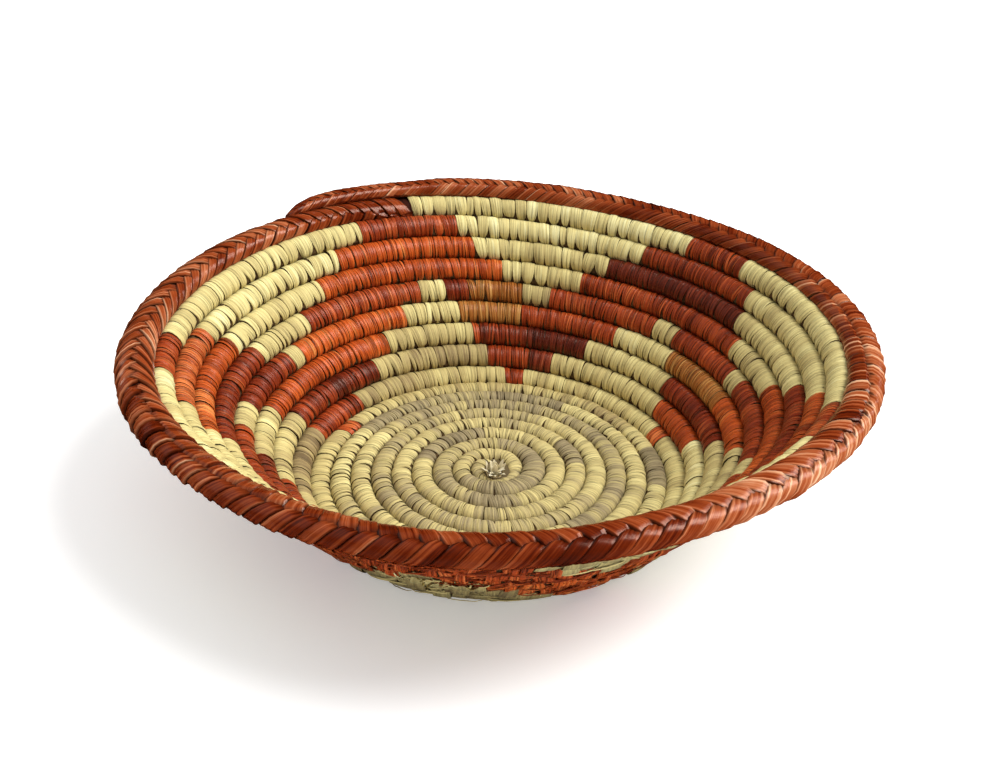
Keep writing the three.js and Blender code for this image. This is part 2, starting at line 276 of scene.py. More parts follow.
# Cross-section of the row. The lowest stitches are pressed flat, just above what the basket stands on.
ROW_OVERLAP = 0.1 * MM
SECTION_POWER = 0.86
STANDING_HEIGHT = 0.05 * MM
PRESSED = 0.15
PRESSED_BELOW = 1 * MM


def section(turn, phi, lift, side_lift=None):
    """A point on the wrapped bundle: phi turns from the next row, over the inside, to the row before."""
    row = row_at(turn)
    size = course(turn, BUNDLE_SIZE, 1)
    cosine, sine = np.cos(phi), np.sin(phi)
    wide = size * (np.where(cosine > 0, row.to_next, row.to_last) + ROW_OVERLAP)
    thick = size * row.thickness / 2
    x = wide * np.sign(cosine) * np.abs(cosine) ** SECTION_POWER
    y = thick * np.sign(sine) * np.abs(sine) ** SECTION_POWER
    steep = np.hypot(cosine * thick, sine * wide)
    x = x + (lift if side_lift is None else side_lift) * cosine * thick / steep
    y = y + lift * sine * wide / steep
    point = row.middle + row.across * x[..., None] + row.inwards * y[..., None]
    lowest = STANDING_HEIGHT + PRESSED * np.clip(PRESSED_BELOW - lift, 0, None)
    point[..., 2] = np.maximum(point[..., 2], lowest)
    return point


# Shape of one stitch, from edge to edge and back behind, and round the row.
STITCH_ACROSS = np.array([-1.0, -0.9, 0.0, 0.9, 1.0, -1.0])
STITCH_PILLOW = np.array([0.0, 0.15, 1.0, 0.15, 0.0, 0.0])
STITCH_DROP = np.array([0.5, 0.05, 0.0, 0.05, 0.5, 0.5]) * MM
# Painted shade along the seams, darkest at the stitch's edges.
STITCH_EDGE = np.array([1.0, 0.35, 0.0, 0.35, 1.0, 1.0])
STITCH_ROWS = 16
OUTSIDE_SPREAD = 0.35
PINCH_ANGLE = 0.8
PINCH_DEPTH = 0.12 * MM
SEAM_AT_TOP = 0.3
SEAM_OPENS = (1.2, 2.4)
SEAM_CLOSES = (5.4, TAU)
SHALLOW_SEAM = 0.15
CREASE_POWER = 6
# Painted shade in the crease where one row meets the next.
CREASE_SHADE = 0.5


def stitch_object(name, stitches, outside_shade, fading):
    """Flat stitches round the row, closed behind. Outside, the row is darker by painted shade, or paler than
    inside.
    """
    def place(strip, column, row):
        phi = TAU * row / STITCH_ROWS
        across = STITCH_ACROSS[column]
        drawn_in = np.exp(-((phi - math.pi) / PINCH_ANGLE) ** 2)
        outside = np.where(phi > math.pi, np.sin(phi) ** 2, 0)
        opened = smoothstep(phi, *SEAM_OPENS) * (1 - smoothstep(phi, *SEAM_CLOSES))
        low = SEAM_AT_TOP + (1 - SEAM_AT_TOP) * opened
        gap = low * np.where(across < 0, stitches.left_gap[strip], stitches.right_gap[strip])
        seam = low * np.where(across < 0, stitches.left_seam[strip], stitches.right_seam[strip])
        reach = across * (stitches.half[strip] - gap)
        arc = (stitches.arc[strip] + reach * (1 - stitches.pinch[strip] * drawn_in + OUTSIDE_SPREAD * outside)
               + stitches.slant[strip] * np.cos(phi) + stitches.stray[strip] * outside)
        drop = STITCH_DROP[column] * (SHALLOW_SEAM + (1 - SHALLOW_SEAM) * seam)
        lift = (STITCH_PILLOW[column] * stitches.pillow[strip] - drop
                + stitches.lift[strip] + stitches.tilt[strip] * across
                + stitches.rough[strip] * outside - PINCH_DEPTH * drawn_in)
        crease = np.abs(np.cos(phi)) ** CREASE_POWER
        # Painted shade: darker along the seams between stitches, in the creases between rows, and on the
        # outside of the row.
        unshaded = (1 - STITCH_EDGE[column] * seam) * (1 - CREASE_SHADE * crease) * (1 - outside_shade * outside)
        round_length = (math.pi - np.abs(phi - math.pi)) * ROW_RADIUS
        return SimpleNamespace(
            co=section(turn_at(arc), phi, lift),
            uv=np.stack((reach / MM + stitches.offset[strip], round_length / MM), -1),
            tone=stitches.tone[strip] + fading * outside,
            edge=1 - unshaded)

    return strip_object(name, len(stitches.arc), len(STITCH_ACROSS) - 1, STITCH_ROWS, place)


TUBE_TONE = 0.5
TUBE_UV_ROUND = 4


def tube_object(name, first, last, steps, rows, point):
    """One closed tube along the row, from point(turn, phi)."""
    def place(strip, column, row):
        turn = first + (last - first) * np.clip(column - 1, 0, steps) / steps
        phi = TAU * row / rows
        co = point(turn, phi)
        end = (column == 0) | (column == steps + 2)
        middle = (point(turn, np.zeros_like(phi)) + point(turn, np.full_like(phi, math.pi))) / 2
        co[end] = middle[end]
        flat = np.full(len(row), TUBE_TONE)
        uv = np.stack((arc_at(turn) / MM, phi * TUBE_UV_ROUND), -1)
        return SimpleNamespace(co=co, uv=uv, tone=flat, edge=0 * flat)

    return strip_object(name, 1, steps + 2, rows, place)


# Loose strands of leaf. Angles are round the row, and turning is a mean and a spread.
STRAND_ACROSS = np.array([-1.0, 0.0, 1.0, -1.0])
STRAND_ROWS = 6
STRAND_WIDTH = 0.9 * MM
STRAND_ROUND = 0.11
STRAND_LENGTHS = (7 * MM, 18 * MM)
STRAND_MARGIN = 4 * MM
STRAND_EDGE_ANGLE = 0.3
STRAND_TURNING = (0.1, 0.3)
STRAND_LIFTS = (0.1 * MM, 0.55 * MM)
STRAND_PALER = 0.05
STRAND_TONE_SPREAD = 0.1
STRAND_TAPER = 0.8
STRAND_WAVE = 0.05
STRAND_WAVES = 5
STRAND_BOW = 0.25 * MM
STRAND_END_DIP = 0.7 * MM
STRAND_UV_STEP = 3.7
STRAND_DIRT = 0.15
STRAND_EDGE_DIRT = 0.3


def strand_object(name, stretches, spacing, tone_of):
    """Loose strands of leaf that lie along the outside of the row, over the ends of the stitches."""
    arcs = np.concatenate([np.arange(arc_at(first) + spacing, arc_at(last) - STRAND_MARGIN, spacing)
                           for first, last in stretches
                           if arc_at(last) - arc_at(first) > spacing + STRAND_MARGIN])
    count = len(arcs)
    arcs = arcs + rng.normal(0, spacing / 3, count)
    lengths = rng.uniform(*STRAND_LENGTHS, count)
    middles = math.pi + rng.uniform(STRAND_EDGE_ANGLE, math.pi - STRAND_EDGE_ANGLE, count)
    turning = rng.normal(*STRAND_TURNING, count)
    lifts = rng.uniform(*STRAND_LIFTS, count)
    tones = np.clip(tone_of(turn_at(arcs)) + rng.normal(STRAND_PALER, STRAND_TONE_SPREAD, count), 0, 1)

    def place(strip, column, row):
        along = 1 - row / STRAND_ROWS * 2
        side = STRAND_ACROSS[column]
        narrow = 1 - STRAND_TAPER * along ** 4
        phi = (middles[strip] + turning[strip] * along + STRAND_WAVE * np.sin(along * STRAND_WAVES + strip)
               + side * STRAND_ROUND * narrow)
        lift = lifts[strip] + STRAND_BOW * (1 - side ** 2) - STRAND_END_DIP * along ** 6
        reach = along * lengths[strip] / 2
        return SimpleNamespace(
            co=section(turn_at(arcs[strip] + reach), phi, lift),
            uv=np.stack((side * STRAND_WIDTH / MM + strip * STRAND_UV_STEP, reach / MM), -1),
            tone=tones[strip],
            edge=STRAND_DIRT + STRAND_EDGE_DIRT * np.abs(side))

    return strip_object(name, count, len(STRAND_ACROSS) - 1, STRAND_ROWS, place)


# Where the dyed wraps lie, read from their solids.
SHORTEST_STRETCH = 1e-4


def run_of(node):
    """First and last turn of a wrap: the turn of the row that passes nearest, and the angles it spans."""
    points = np.array([corner.co[:] for corner in node.data.vertices]) - AXIS
    around = np.exp(1j * np.arctan2(points[:, 1], points[:, 0]))
    middle = np.angle(around.sum()) / TAU % 1
    radius = np.hypot(points[:, 0], points[:, 1]).mean()
    turns = middle + np.arange(int(OUTER_END_TURN) + 1)
    nearest = turns[np.argmin(np.abs(np.interp(turns, SPIRAL.turn, SPIRAL.radius) - radius))]
    spread = np.angle(around * np.exp(-1j * middle * TAU)) / TAU
    return nearest + spread.min(), nearest + spread.max()


dyed = {}
for node_name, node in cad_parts.items():
    if "_wrap_" in node_name:
        dyed.setdefault(node_name.split("_")[0], []).append((node_name, run_of(node)))
dyed_runs = sorted(run for runs in dyed.values() for _, run in runs)


def straw_stretches(first, last):
    """What the dyed runs leave of the row between two turns."""
    stretches, reached = [], first
    for start, end in dyed_runs:
        if end <= first or start >= last:
            continue
        if start - reached > SHORTEST_STRETCH:
            stretches.append((reached, start))
        reached = end
    if last - reached > SHORTEST_STRETCH:
        stretches.append((reached, last))
    return stretches


# Leaf patterns. UVs are millimetres, across a strip and along it, so a scale is one over a size. Real fibres
# are about 0.2 mm apart, too fine to show here, and are drawn coarser.
FIBRE_SPACING = 0.8
FIBRE_LENGTH = 22.2
FOLD_LENGTH = 50
FOLD_LINE = 0.035
PLEATS_FROM = 5
PLEATS_TO = 11.5
BLOTCH_SIZE = 16.67 * MM
BLOTCH_STRENGTH = 0.25
EVEN_FIBRE = (0.25, 0.75)
DARKENING_FROM = 0.2
ROUGHNESS_SPREAD = 0.25
BUMP_STRENGTH = 0.8
WARM_GLEAM = "#ffdcc8"


def linear(hex_colour):
    channels = (int(hex_colour[i:i + 2], 16) / 255 for i in (1, 3, 5))
    return (*(c / 12.92 if c <= 0.04045 else ((c + 0.055) / 1.055) ** 2.4 for c in channels), 1)


def add(tree, kind, inputs=(), **settings):
    """Adds a node. An input is given a value, or linked if the value is another node's output."""
    node = tree.nodes.new(kind)
    for key, value in settings.items():
        setattr(node, key, value)
    for key, value in dict(inputs).items():
        if isinstance(value, bpy.types.NodeSocket):
            tree.links.new(value, node.inputs[key])
        else:
            node.inputs[key].default_value = value
    return node


def set_ramp(node, stops):
    elements = node.color_ramp.elements
    while len(elements) < len(stops):
        elements.new(0.5)
    for element, (place, colour) in zip(elements, stops):
        element.position, element.color = place, linear(colour)


def leaf_material(name, stops, roughness, fibre_depth, specular=0.2, streaks=0.28, pleats=(0.3, 0.75),
                  folds=0.5, gleam="#ffffff", darkest_dirt_and_shade=0.4):
    """Dry leaf strip: a tone for each stitch, fibres along the strip, edges darkened by painted shade and
    dirt, blotches, and dark pleats of painted shade.

    The pleats are thin creases along the strip, folds of them to a millimetre, painted as dark lines of
    shade. They are weak over the inside of the row and deeper towards the row before, as the two values of
    pleats say.
    """
    material = bpy.data.materials.new(name)
    material.use_nodes = True
    tree = material.node_tree
    shader = tree.nodes["Principled BSDF"]
    tone = add(tree, "ShaderNodeAttribute", attribute_name="tone")
    edge = add(tree, "ShaderNodeAttribute", attribute_name="edge")
    place = add(tree, "ShaderNodeTexCoord")
    strip = add(tree, "ShaderNodeMapping", {"Vector": place.outputs["UV"],
                                            "Scale": (1 / FIBRE_SPACING, 1 / FIBRE_LENGTH, 1)})
    fibre = add(tree, "ShaderNodeTexNoise", {"Vector": strip.outputs[0], "Scale": 1, "Detail": 5,
                                             "Roughness": 0.7})
    blotch = add(tree, "ShaderNodeTexNoise", {"Vector": place.outputs["Object"], "Scale": 1 / BLOTCH_SIZE,
                                              "Detail": 3})
    shifted = add(tree, "ShaderNodeMapRange", {"Value": blotch.outputs[0], "To Min": -BLOTCH_STRENGTH,
                                               "To Max": BLOTCH_STRENGTH})
    streak = add(tree, "ShaderNodeMapRange", {"Value": fibre.outputs[0],
                                              "From Min": EVEN_FIBRE[0], "From Max": EVEN_FIBRE[1],
                                              "To Min": -streaks, "To Max": streaks})
    first = add(tree, "ShaderNodeMath", {0: tone.outputs["Fac"], 1: shifted.outputs[0]}, operation="ADD")
    level = add(tree, "ShaderNodeMath", {0: first.outputs[0], 1: streak.outputs[0]}, operation="ADD",
                use_clamp=True)
    ramp = add(tree, "ShaderNodeValToRGB", {"Fac": level.outputs[0]})
    set_ramp(ramp, stops)

    # Pleats: thin dark lines of painted shade, as in the creases of folded leaf.
    folded = add(tree, "ShaderNodeMapping", {"Vector": place.outputs["UV"],
                                             "Scale": (folds, 1 / FOLD_LENGTH, 1)})
    fold = add(tree, "ShaderNodeTexNoise", {"Vector": folded.outputs[0], "Scale": 1, "Detail": 2})
    off = add(tree, "ShaderNodeMath", {0: fold.outputs[0], 1: 0.5}, operation="SUBTRACT")
    near = add(tree, "ShaderNodeMath", {0: off.outputs[0]}, operation="ABSOLUTE")
    line = add(tree, "ShaderNodeMapRange", {"Value": near.outputs[0], "From Max": FOLD_LINE, "To Min": 1,
                                            "To Max": 0})
    around = add(tree, "ShaderNodeSeparateXYZ", {0: place.outputs["UV"]})
    lower = add(tree, "ShaderNodeMapRange", {"Value": around.outputs["Y"],
                                             "From Min": PLEATS_FROM, "From Max": PLEATS_TO,
                                             "To Min": pleats[0], "To Max": pleats[1]})
    pleat = add(tree, "ShaderNodeMath", {0: line.outputs[0], 1: lower.outputs[0]}, operation="MULTIPLY")

    # Darkening from the edge value: painted shade in seams, creases, on the outside of rows and between
    # plaits, and dirt on loose ends.
    dirt_and_shade = add(tree, "ShaderNodeMapRange", {"Value": edge.outputs["Fac"],
                                            "From Min": DARKENING_FROM, "From Max": 1,
                                            "To Min": 1, "To Max": darkest_dirt_and_shade})
    lit = add(tree, "ShaderNodeMath", {0: 1.0, 1: pleat.outputs[0]}, operation="SUBTRACT")
    dimmed = add(tree, "ShaderNodeMath", {0: dirt_and_shade.outputs[0], 1: lit.outputs[0]}, operation="MULTIPLY")
    shade = add(tree, "ShaderNodeMix", {0: 1.0, 6: ramp.outputs[0], 7: dimmed.outputs[0]}, data_type="RGBA",
                blend_type="MULTIPLY")
    rough = add(tree, "ShaderNodeMapRange", {"Value": fibre.outputs[0],
                                             "To Min": roughness * (1 - ROUGHNESS_SPREAD),
                                             "To Max": roughness * (1 + ROUGHNESS_SPREAD)})
    relief = add(tree, "ShaderNodeMath", {0: fibre.outputs[0], 1: pleat.outputs[0]}, operation="SUBTRACT")
    bump = add(tree, "ShaderNodeBump", {"Height": relief.outputs[0], "Distance": fibre_depth,
                                        "Strength": BUMP_STRENGTH})
    tree.links.new(shade.outputs[2], shader.inputs["Base Color"])
    tree.links.new(rough.outputs[0], shader.inputs["Roughness"])
    tree.links.new(bump.outputs[0], shader.inputs["Normal"])
    shader.inputs["Specular IOR Level"].default_value = specular
    shader.inputs["Specular Tint"].default_value = linear(gleam)
    return material


# Split straw, dried and flattened: dull and fibrous, with paler and darker strips side by side.
STRAW = leaf_material(
    "pale_straw",
    ((0, "#6a573a"), (0.25, "#988257"), (0.55, "#c4b173"), (0.8, "#e0d08c"), (1, "#f3eaae")),
    roughness=0.62, fibre_depth=0.45 * MM)

# The floor's straw, rubbed and dusty: greyer than the wall, with no gleam and with closer creases.
FLOOR_STRAW = leaf_material(
    "khaki_straw",
    ((0, "#72644a"), (0.3, "#9f8f6a"), (0.6, "#c4b276"), (1, "#e4d592")),
    roughness=0.66, fibre_depth=0.5 * MM, specular=0.15, streaks=0.3, pleats=(0.4, 0.7), folds=0.65)

# Bundled grass, unsplit and unwashed, and darker still by painted shade: a dark, matt filling in the gaps
# between the stitches.
BUNDLE = leaf_material(
    "grass_bundle",
    ((0, "#2a1d10"), (0.5, "#4e3b24"), (1, "#6f5838")),
    roughness=0.85, fibre_depth=0.3 * MM, specular=0.1)

# Dyed leaf, smooth and a little waxy: a warm satin gleam, and streaks where the dye took unevenly.
DYE_STOPS = {
    "rust": ((0, "#431307"), (0.35, "#832c10"), (0.7, "#b2481b"), (1, "#dc7a40")),
    "orange": ((0, "#62200a"), (0.35, "#a53f12"), (0.7, "#cf5c20"), (1, "#ee944e")),
    "maroon": ((0, "#300c05"), (0.4, "#661d0a"), (0.75, "#8e3010"), (1, "#b95726")),
    "brown": ((0, "#280c06"), (0.4, "#5e1e10"), (0.75, "#88341a"), (1, "#b46038")),
    "tan": ((0, "#50270b"), (0.4, "#834414"), (0.75, "#a86428"), (1, "#cb9550")),
}
DYES = {
    dye: leaf_material(
        f"{dye}_leaf", stops,
        roughness=0.32, fibre_depth=0.4 * MM, specular=0.45, streaks=0.5, pleats=(0.75, 0.9), folds=0.7,
        gleam=WARM_GLEAM)
    for dye, stops in DYE_STOPS.items()
}

# Plaited leaf, polished by hands: narrow bright glints along the strips, partly from gloss and partly painted
# highlights, and painted shade where one dips under another.
BRAID = leaf_material(
    "plaited_leaf",
    ((0, "#300b04"), (0.25, "#621c03"), (0.5, "#93401b"), (0.75, "#bb7048"), (1, "#e8b48c")),
    roughness=0.21, fibre_depth=0.14 * MM, specular=0.45, streaks=0.22, pleats=(0.12, 0.2), folds=0.5,
    gleam=WARM_GLEAM, darkest_dirt_and_shade=0.12)

# Cut ends of straw, unsoiled inside, and paler still by painted light where they catch it: the palest spot of
# the basket.
TUFT = leaf_material(
    "cream_straw",
    ((0, "#b5a274"), (0.5, "#e6d9a6"), (1, "#fff4d2")),
    roughness=0.6, fibre_depth=0.2 * MM)

# Knotted straw, tight and dusty: a dull brown heart behind the cut ends.
KNOT = leaf_material(
    "knotted_straw",
    ((0, "#6b5a3a"), (0.5, "#8f7c50"), (1, "#c4b173")),
    roughness=0.7, fibre_depth=0.4 * MM)

# Leaf deep in the plait, out of the light: nearly black and matt, so the strips above stand out.
BRAID_CORE = leaf_material(
    "shaded_leaf",
    ((0, "#160603"), (0.5, "#2f0f06"), (1, "#4c1c0c")),
    roughness=0.8, fibre_depth=0.3 * MM, specular=0.1)


def finish_piece(piece, material, slot, *nodes):
    piece.data.materials.append(material)
    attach(piece, "root")
    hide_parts(*nodes)


# The bundle, seen between the stitches. It fills its row from side to side.
BUNDLE_INSET = 0.7 * MM
BUNDLE_STEPS = 2400
BUNDLE_ROWS = 10


def bundle_point(turn, phi):
    return section(turn, phi, np.full_like(phi, -BUNDLE_INSET), 0 * phi)


bundle = tube_object(
    "grass_bundle", CURL_START_TURN, BRAID_START_TURN, BUNDLE_STEPS, BUNDLE_ROWS, bundle_point)
finish_piece(bundle, BUNDLE, "straw", "straw_coil")

# Straw stitches: khaki and closer on the floor, paler and wider up the wall.
STRAW_TONES = np.array((  # turn, tone
    (-1, 0.5), (5, 0.53), (8, 0.58), (10, 0.56), (12, 0.6), (14, 0.7), (17, 0.74)))
# Painted shade on the outside of the straw rows.
STRAW_OUTSIDE_SHADE = 0.85
UPPER_WALL_TURN = 12.3
STRAW_STRANDS_FROM = FLOOR_TURNS + 1
STRAW_STRAND_SPACING = 9 * MM


def straw_tone(turn):
    return course(turn, STRAW_TONES, 1)


STRAW_PIECES = {
    "straw_floor": sew(
        straw_stretches(CURL_START_TURN, FLOOR_TURNS), straw_tone,
        width=3.4 * MM, spread=0.35, tone_spread=0.11, odd_share=0.14, bold_share=0.25, gape=0.3 * MM,
        pinch=0.25, pillow=0.1 * MM, front_narrowing=0.12),
    "straw_wall_lower": sew(
        straw_stretches(FLOOR_TURNS, UPPER_WALL_TURN), straw_tone,
        width=4.6 * MM, spread=0.27, tone_spread=0.09, odd_share=0.08, bold_share=0.35, gape=0.5 * MM,
        pinch=0.4, pillow=0.15 * MM),
    "straw_wall_upper": sew(
        straw_stretches(UPPER_WALL_TURN, BRAID_START_TURN), straw_tone,
        width=5.0 * MM, spread=0.27, tone_spread=0.05, odd_share=0.02, bold_share=0.4, gape=0.6 * MM,
        pinch=0.5, pillow=0.22 * MM),
}
for name, stitches in STRAW_PIECES.items():
    material = FLOOR_STRAW if name == "straw_floor" else STRAW
    finish_piece(stitch_object(name, stitches, STRAW_OUTSIDE_SHADE, 0), material, "straw", "straw_coil")
straw_strands = strand_object(
    "straw_strands", straw_stretches(STRAW_STRANDS_FROM, BRAID_START_TURN), STRAW_STRAND_SPACING, straw_tone)
finish_piece(straw_strands, STRAW, "straw", "straw_coil")

# Dyed stitches. Some runs took the dye more or less than the rest.
DYE_FADING = 0.2
DYED_STRAND_SPACING = 2.6 * MM
DYE_TONES = {"rust": 0.5, "orange": 0.5, "maroon": 0.62, "brown": 0.5, "tan": 0.7}
RUN_TONES = {
    "rust_wrap_row1_1": 0.7, "rust_wrap_row1_4": 0.7, "rust_wrap_row3_1": 0.42, "rust_wrap_row3_6": 0.42,
    "rust_wrap_row5_12": 0.6, "rust_wrap_row8_1": 0.75, "rust_wrap_row8_5": 0.6, "rust_wrap_row9_1": 0.6,
    "rust_wrap_row9_3": 0.62, "orange_wrap_row5_1": 0.58, "orange_wrap_row7_1": 0.65,
    "brown_wrap_row2_5": 0.7,
}


def run_tones(dye, runs):
    """A function from turns to the tone of the run that each turn lies in."""
    ordered = sorted((run[0], RUN_TONES.get(name, DYE_TONES[dye])) for name, run in runs)
    starts, tones = np.array(ordered).T
    return lambda turn: tones[np.searchsorted(starts, turn) - 1]


for dye, runs in sorted(dyed.items()):
    stretches = [run for _, run in runs]
    tone_of = run_tones(dye, runs)
    stitches = sew(
        stretches, tone_of,
        width=2.9 * MM, spread=0.38, tone_spread=0.06, odd_share=0.0, bold_share=0.42, gape=0.42 * MM,
        pinch=0.25, pillow=0.14 * MM)
    strands = strand_object(f"{dye}_strands", stretches, DYED_STRAND_SPACING, tone_of)
    for piece in (stitch_object(f"{dye}_stitches", stitches, 0, DYE_FADING), strands):
        finish_piece(piece, DYES[dye], f"dyed_{dye}", *(name for name, _ in runs))


# Herringbone braid over the last turn. Its spine wanders round the rim and its strips slant with it.
BRAID_COURSE = np.array((  # turn, spine's angle from outwards, slant of the outer and of the inner strips
    (16.300, 180, 0.60, 0.30), (16.315, 168, 0.60, 0.40), (16.330, 138, 0.70, 0.70),
    (16.360, 136, 0.75, 0.90), (16.390, 118, 0.75, 1.10), (16.440, 112, 0.75, 1.30),
    (16.480, 111, 0.75, 1.40), (16.505, 102, 0.90, 1.30), (16.535, 81, 0.95, 1.20),
    (16.555, 89, 0.30, 0.70), (16.580, 89, -0.30, 0.35), (16.610, 74, -0.60, 0.10),
    (16.650, 77, -0.85, -0.15), (16.700, 75, -0.85, -0.40), (16.750, 68, -0.85, -0.65),
    (16.840, 64, -1.00, -0.80), (16.880, 57, -1.10, -0.95), (16.900, 52, -1.10, -0.90),
    (16.940, 58, -0.80, -0.40), (16.955, 63, -0.60, -0.10), (16.975, 87, -0.40, 0.10),
    (16.990, 94, -0.20, 0.20), (17.010, 105, 0.05, 0.30), (17.035, 114, 0.40, 0.60),
    (17.080, 112, 0.70, 1.20), (17.160, 107, 0.75, 1.20), (17.200, 119, 0.75, 1.10),
    (17.260, 113, 0.75, 0.90), (17.370, 108, 0.75, 0.80)))
# Tones are partly the leaf's own colour and partly painted light: raised at the right front, where highlights
# fall, and lowered on the front just before it, in shade. The ramp's pinker high tones paint highlights too.
BRAID_TONES = np.array((  # turn, tone of the outer and of the inner strips
    (16.30, 0.30, 0.30), (16.34, 0.34, 0.32), (16.38, 0.50, 0.52), (16.48, 0.47, 0.54),
    (16.53, 0.42, 0.54), (16.57, 0.40, 0.47), (16.60, 0.24, 0.37), (16.67, 0.25, 0.38),
    (16.75, 0.29, 0.38), (16.78, 0.26, 0.30), (16.81, 0.27, 0.32), (16.84, 0.47, 0.55),
    (16.87, 0.55, 0.56), (16.90, 0.60, 0.50), (16.96, 0.65, 0.38), (17.00, 0.55, 0.31),
    (17.03, 0.40, 0.42), (17.08, 0.33, 0.35), (17.17, 0.33, 0.31), (17.21, 0.48, 0.49),
    (17.30, 0.50, 0.50), (17.34, 0.36, 0.38)))
BRAID_RELIEF = np.array((  # turn, how far the strips stand off each other, strength of the painted highlights on their ridges
    (16.30, 0.6, 0.4), (16.48, 0.7, 0.5), (16.53, 1.3, 0.6), (16.60, 1.2, 0.6), (16.66, 0.6, 0.4),
    (16.78, 0.4, 0.3), (16.84, 0.6, 0.5), (16.86, 1.0, 1.0), (16.92, 0.8, 1.1), (16.97, 0.55, 1.1),
    (17.02, 0.5, 0.9), (17.06, 0.3, 0.4), (17.37, 0.3, 0.4)))
BRAID_PITCHES = np.array((  # turn, width of a strip in millimetres
    (16.30, 6.0), (16.42, 5.9), (16.50, 6.3), (16.56, 6.6), (16.60, 7.6), (16.70, 7.4), (16.78, 7.3),
    (16.86, 8.4), (16.91, 7.8), (16.98, 6.6), (17.05, 6.0), (17.12, 5.0), (17.25, 4.6), (17.37, 4.3)))

# Shape of one plaited strip, from edge to edge and back behind.
BRAID_ROWS = 8
BRAID_ACROSS = np.array([-1.0, -0.85, -0.6, -0.32, 0.0, 0.32, 0.6, 0.85, 1.0, -1.0])
BRAID_LIFT = np.array([-0.9, 0.0, 0.3, 0.05, 0.35, 0.1, 0.4, 0.2, -0.9, -0.9]) * MM
# Painted highlights: tone added along the strip's ridges and near its raised edge.
BRAID_SHEEN = np.array([0.0, 0.0, 0.24, -0.1, 0.24, -0.12, 0.26, 0.34, 0.0, 0.0])
# Painted shade at the strip's edges, where one strip dips under another.
BRAID_EDGE = np.array([1.0, 0.85, 0.1, 0.15, 0.0, 0.15, 0.1, 0.45, 1.0, 1.0])
BRAID_LAP = 0.35 * MM
BRAID_LENGTH = {"outer": 17 * MM, "inner": 14 * MM}
BRAID_LENGTH_POWER = 1.3
SPINE_HIGH = math.radians(100)
ROUND_RIM = {"outer": 6 * MM, "inner": 0 * MM}
BRAID_TILT = {"outer": 0.6 * MM, "inner": 0.4 * MM}
BRAID_TILT_ROUND = 0.8
BRAID_SHADE = {"outer": 0.5, "inner": 0.25}
BRAID_SHADE_FROM = 6 * MM
BRAID_SHADE_TO = 15 * MM
BRAID_FADE = {"outer": 0.0, "inner": 0.5}
BRAID_FADE_FROM = 5 * MM
BRAID_FADE_TO = 11 * MM
BRAID_TUCK = 1.3 * MM
BRAID_SINK = 1.0 * MM
BRAID_SINK_FROM = -0.6 * MM
BRAID_SINK_TO = 1.0 * MM
BRAID_SINK_SHADE = 0.6
BRAID_SEAT = 0.3 * MM
BRAID_ROOF_TURNS = 0.02
BRAID_STRAY = 0.25 * MM
BRAID_TONE_SPREAD = 0.07
BRAID_UNEVENNESS = 0.2 * MM
GLINT_SHAPE = 0.8
GLINT_STRENGTH = 0.9
ZIGZAG = 0.24
ZIGZAG_FULL_SLANT = 1.4
ROUND = np.radians(np.arange(-220, 401))
GIRTH = running_sum(np.hypot(BRAID_HALF_WIDTH * np.sin(ROUND), BRAID_HALF_HEIGHT * np.cos(ROUND)), 0, ROUND)
BRAID_SAMPLES = 4000


def braid_section(turn, psi, lift):
    """A point on the braid: psi turns from outwards, over the top. It lies flat on the row below."""
    row = row_at(turn)
    size = course(turn, BRAID_TAIL, 1)
    seat = row.to_last + BRAID_SEAT
    offset = (row.outwards * (size * (BRAID_HALF_WIDTH + lift) * np.cos(psi))[..., None]
              + row.up * (size * (BRAID_HALF_HEIGHT + lift) * np.sin(psi))[..., None])
    reach = (offset * row.across).sum(-1)
    roof = np.where(turn < OUTER_END_TURN - 1 + BRAID_ROOF_TURNS, row.to_next + BRAID_SEAT, np.inf)
    seated = np.clip(reach, -size * seat, roof)
    middle = row.middle + row.across * ((size - 1) * seat)[..., None]
    return middle + offset + row.across * (seated - reach)[..., None]


braid_first, braid_last = arc_at(BRAID_START_TURN), arc_at(OUTER_END_TURN)
braid_arcs = np.linspace(braid_first, braid_last, BRAID_SAMPLES)
strips_passed = running_sum(1 / (course(turn_at(braid_arcs), BRAID_PITCHES, 1) * MM), braid_first, braid_arcs)
braid_strips = int(strips_passed[-1])


